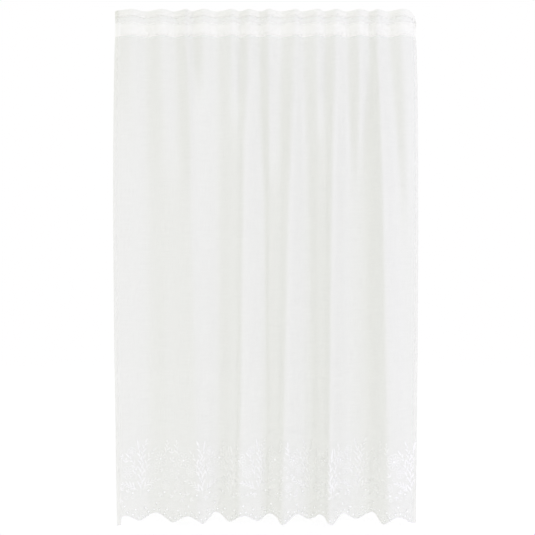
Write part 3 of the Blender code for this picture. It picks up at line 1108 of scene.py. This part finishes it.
def closeness_and_painted_light(tree, along, drop):
    """How close the voile's layers make it, and how much painted light brightens it: most where the tape
    backs it, then at the frill and the side hems, less in the rest of the heading, and barely in the lace
    border. The same mask blends in a whiter copy of its thread, which is painted light."""
    frill = band(tree, drop, 0.0, FRILL_DROP - FRILL_SOFT, FRILL_SOFT)
    taped = band(tree, drop, (TAPE_FROM + TAPE_TO) / 2, (TAPE_TO - TAPE_FROM) / 2 + TAPE_PAST, EDGE_SOFT)
    left = band(tree, along, 0.0, SIDE_HEM - EDGE_SOFT, EDGE_SOFT)
    right = band(tree, along, FLAT_WIDTH, SIDE_HEM - EDGE_SOFT, EDGE_SOFT)
    heading = band(tree, drop, 0.0, TAPE_TO, EDGE_SOFT)
    lace = band(tree, drop, DROP - LACE_HIGH / 2, LACE_HIGH / 2, LACE_SOFT)
    close_and_painted_light = 0.0
    for part, share in ((frill, FRILL_CLOSE_AND_PAINTED_LIGHT), (taped, TAPED_CLOSE_AND_PAINTED_LIGHT), (left, HEM_CLOSE_AND_PAINTED_LIGHT),
                        (right, HEM_CLOSE_AND_PAINTED_LIGHT), (heading, HEADING_CLOSE_AND_PAINTED_LIGHT), (lace, LACE_CLOSE_AND_PAINTED_LIGHT)):
        close_and_painted_light = maths(tree, "MAXIMUM", close_and_painted_light, maths(tree, "MULTIPLY", part, share))
    return close_and_painted_light


def voile_material():
    """Sheer plain weave: part open, part white thread that light shines through. Where its layers
    make it closer, less of it is open, and a whiter copy of its thread is blended in as painted light that
    brightens these bands."""
    material, tree, output = new_material("voile")
    along, drop = flat_place(tree)
    close_and_painted_light = closeness_and_painted_light(tree, along, drop)
    uneven = maths(tree, "ADD", slubs(tree, along, drop, *SLUBS_DOWN),
                   slubs(tree, along, drop, *SLUBS_ACROSS))
    weave = maths(tree, "MULTIPLY", sine(tree, along, WEAVE_PITCH), sine(tree, drop, WEAVE_PITCH))
    threads = maths(tree, "MULTIPLY_ADD", weave, WEAVE_SHADE, COVER - UNEVEN)
    threads = maths(tree, "MULTIPLY_ADD", uneven, UNEVEN, threads)
    cover = maths(tree, "MULTIPLY_ADD", close_and_painted_light, FULL_COVER - COVER, threads)
    clear = node(tree, "ShaderNodeBsdfTransparent", Color=CLEAR_TINT).outputs[0]
    bump = bumped(tree, weave, *VOILE_BUMP)
    loose = glowing(tree, LOOSE_WHITE, LOOSE_GLOW, bump)
    # A whiter copy of the same voile thread: painted light that brightens the frill, tape, hems and heading
    packed_painted_light = glowing(tree, DENSE_WHITE_AND_PAINTED_LIGHT, PACKED_GLOW, bump)
    whole = blend(tree, cover, clear, blend(tree, close_and_painted_light, loose, packed_painted_light))
    tree.links.new(whole, output.inputs["Surface"])
    return material


def thread_material(name, ridge):
    """Soft white thread, ridged across the stroke like satin stitch. Cloth shows between its fibres,
    and little light goes through them."""
    material, tree, output = new_material(name)
    length = flat_place(tree)[0]
    bump = bumped(tree, sine(tree, length, ridge), *THREAD_BUMP)
    matt = glowing(tree, DENSE_WHITE_AND_PAINTED_LIGHT, THREAD_GLOW, bump)
    gloss = node(tree, "ShaderNodeBsdfGlossy", Color=FULL_WHITE, Roughness=SHEEN_ROUGH, Normal=bump)
    satin = blend(tree, SHEEN, matt, gloss.outputs[0])
    clear = node(tree, "ShaderNodeBsdfTransparent", Color=FULL_WHITE).outputs[0]
    tree.links.new(blend(tree, THREAD_COVER, clear, satin), output.inputs["Surface"])
    return material


def tape_material():
    """Firm white tape, ribbed along and finely woven across, which lets much light through."""
    material, tree, output = new_material("tape")
    along, drop = flat_place(tree)
    ribs = sine(tree, drop, TAPE_RIB)
    weft = sine(tree, along, TAPE_WEFT)
    bump = bumped(tree, maths(tree, "MULTIPLY_ADD", weft, WEFT_SHARE, ribs), *TAPE_BUMP)
    tree.links.new(glowing(tree, DENSE_WHITE_AND_PAINTED_LIGHT, TAPE_GLOW, bump), output.inputs["Surface"])
    return material


def make_light():
    """A white room whose backdrop the camera sees as full white, and one broad, bluish lamp to the
    right of the front. Light goes through many folds of open cloth, so it may turn often. The denoiser isn't
    guided by the folds' directions, which make it darken the small eyelets."""
    world = bpy.data.worlds.new("world")
    bpy.context.scene.world = world
    world.use_nodes = True
    tree = world.node_tree
    backdrop = tree.nodes.new("ShaderNodeLightPath").outputs["Is Camera Ray"]
    background = tree.nodes["Background"].inputs
    background["Color"].default_value = FULL_WHITE
    strength = maths(tree, "MULTIPLY_ADD", backdrop, 1.0 - ROOM_LIGHT, ROOM_LIGHT)
    tree.links.new(strength, background["Strength"])
    lamp = bpy.data.lights.new("key", "AREA")
    lamp.energy = KEY_WATTS
    lamp.size = KEY_SIZE
    lamp.color = KEY_TINT
    key = bpy.data.objects.new("key", lamp)
    key.location = KEY_PLACE
    key.rotation_euler = (Vector(KEY_AIM) - key.location).to_track_quat("-Z", "Y").to_euler()
    bpy.context.scene.collection.objects.link(key)
    bpy.context.scene.view_settings.view_transform = "Standard"
    cycles = bpy.context.scene.cycles
    cycles.transparent_max_bounces = OPEN_BOUNCES
    cycles.max_bounces = ALL_BOUNCES
    cycles.diffuse_bounces = CLOTH_BOUNCES
    cycles.transmission_bounces = CLOTH_BOUNCES
    cycles.denoising_input_passes = "RGB_ALBEDO"


def make_floor():
    """A plain pale floor just below the foot. Light from under it shines through, so that it is as
    bright as the backdrop and no line or shadow shows behind the foot."""
    bpy.ops.mesh.primitive_plane_add(size=FLOOR_SIZE, location=(0.0, 0.0, -DROP - FLOOR_GAP))
    floor = bpy.context.object
    floor.name = "floor"
    material, tree, output = new_material("floor")
    matt = node(tree, "ShaderNodeBsdfDiffuse", Color=FLOOR_GREY)
    lift = node(tree, "ShaderNodeBsdfTranslucent", Color=FLOOR_GLOW)
    shader = node(tree, "ShaderNodeAddShader", i0=matt.outputs[0], i1=lift.outputs[0])
    tree.links.new(shader.outputs[0], output.inputs["Surface"])
    floor.data.materials.append(material)


make_camera()
sheer = make_sheer(voile_material())
tape_look = tape_material()
tape = make_tape(tape_look)
make_pockets(tape_look)
make_border(thread_material("satin thread", SATIN_RIDGE))
make_sewing(thread_material("sewing thread", SEWING_RIDGE))
make_light()
make_floor()
